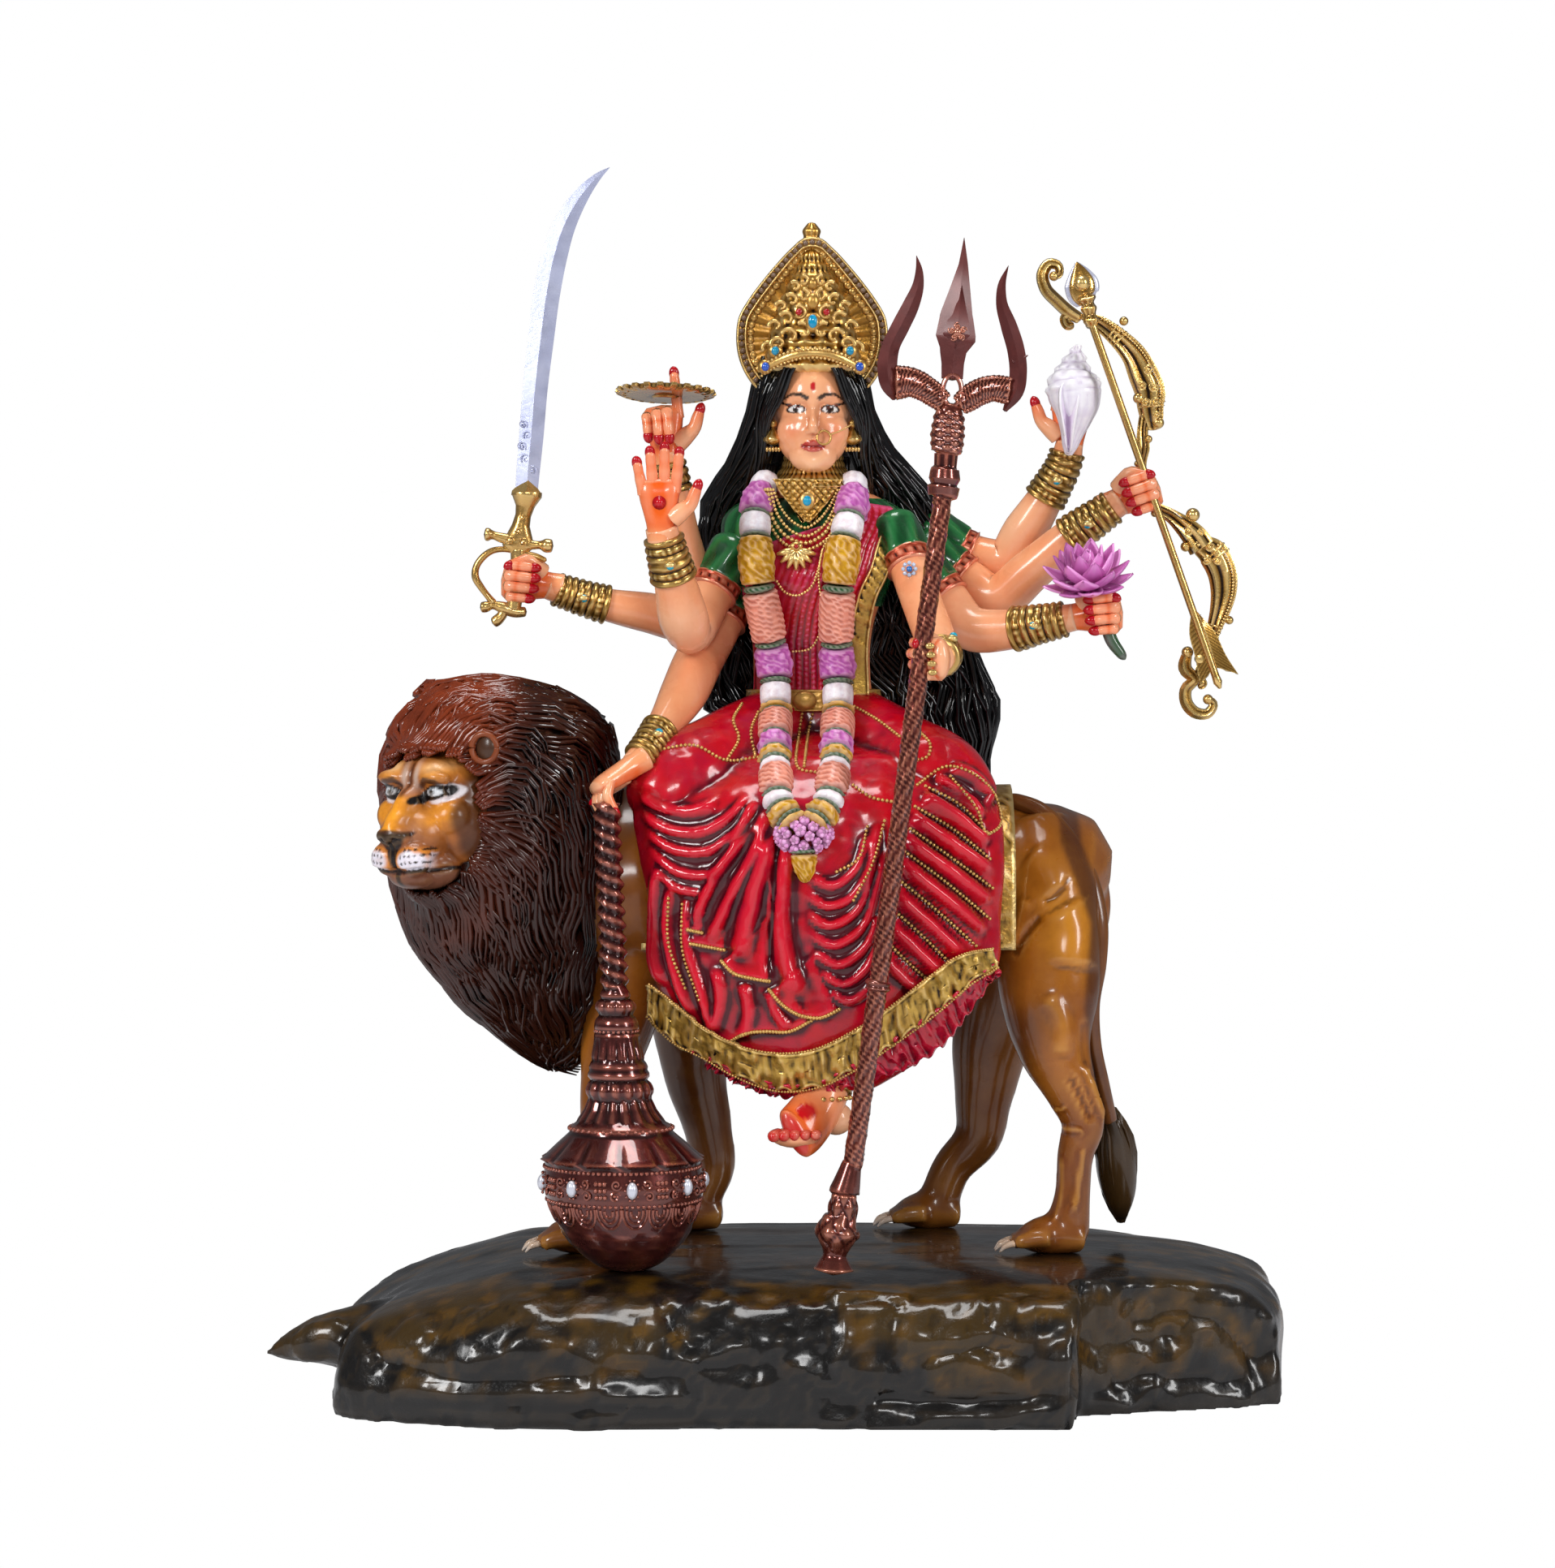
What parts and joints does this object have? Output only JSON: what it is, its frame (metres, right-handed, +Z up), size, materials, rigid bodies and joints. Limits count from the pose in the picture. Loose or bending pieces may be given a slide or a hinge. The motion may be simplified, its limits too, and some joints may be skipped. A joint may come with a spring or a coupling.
{
  "type": "durga figure",
  "caption": "Painted resin statue of an eight-armed goddess seated sideways on a standing lion, with her weapons and emblems, on a rock base.",
  "frame": {"origin": "the middle of the rock's flat underside, which rests on the shelf", "axes": "+Z up, +X to the viewer's right along the lion from its chest to its tail, and -Y towards the viewer"},
  "size_m": [0.3733, 0.206, 0.4488],
  "materials": {
    "rock_paint": "dark brown-black resin with ochre tints under gloss lacquer",
    "lion_paint": "golden-brown painted resin with a dark mane, under gloss lacquer",
    "saree_paint": "crimson painted resin with gold edges, peach skin and black hair, under gloss lacquer",
    "silver_paint": "satin silver blade with an antique gold hilt",
    "gold_paint": "antique gold paint with dark recesses",
    "copper_paint": "glossy metallic copper brown",
    "shell_paint": "white painted resin",
    "petal_paint": "pink painted petals on a dark green stem"
  },
  "bodies": {
    "root": {"rock_base": "rock_paint", "lion": "lion_paint", "goddess": "saree_paint", "sword": "silver_paint", "discus": "gold_paint", "mace": "copper_paint", "trident": "copper_paint", "bow_and_arrow": "gold_paint", "conch": "shell_paint", "lotus": "petal_paint"}
  },
  "joints": []
}
